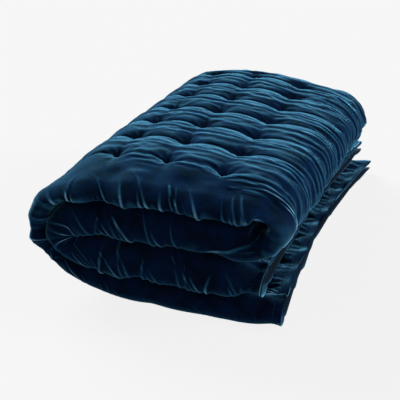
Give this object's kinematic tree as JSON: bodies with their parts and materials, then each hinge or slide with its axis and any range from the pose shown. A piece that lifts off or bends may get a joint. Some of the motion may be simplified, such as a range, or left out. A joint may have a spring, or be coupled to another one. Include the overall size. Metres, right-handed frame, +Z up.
{
  "type": "folded velvet quilt",
  "caption": "Padded velvet throw quilt with stitched tufts, folded in half and then back and forth into a soft, rounded pile with its hems at the side and back.",
  "frame": {"origin": "middle of the footprint, on the surface that the folded quilt lies on", "axes": "+Z up, -Y towards the rounded front faces of the layers, +X towards the two free ends with their hems"},
  "size_m": [0.4394, 0.6998, 0.2142],
  "materials": {
    "velvet": "deep teal navy cotton velvet with a soft directional pile"
  },
  "bodies": {
    "root": {"quilt": "velvet"}
  },
  "joints": []
}
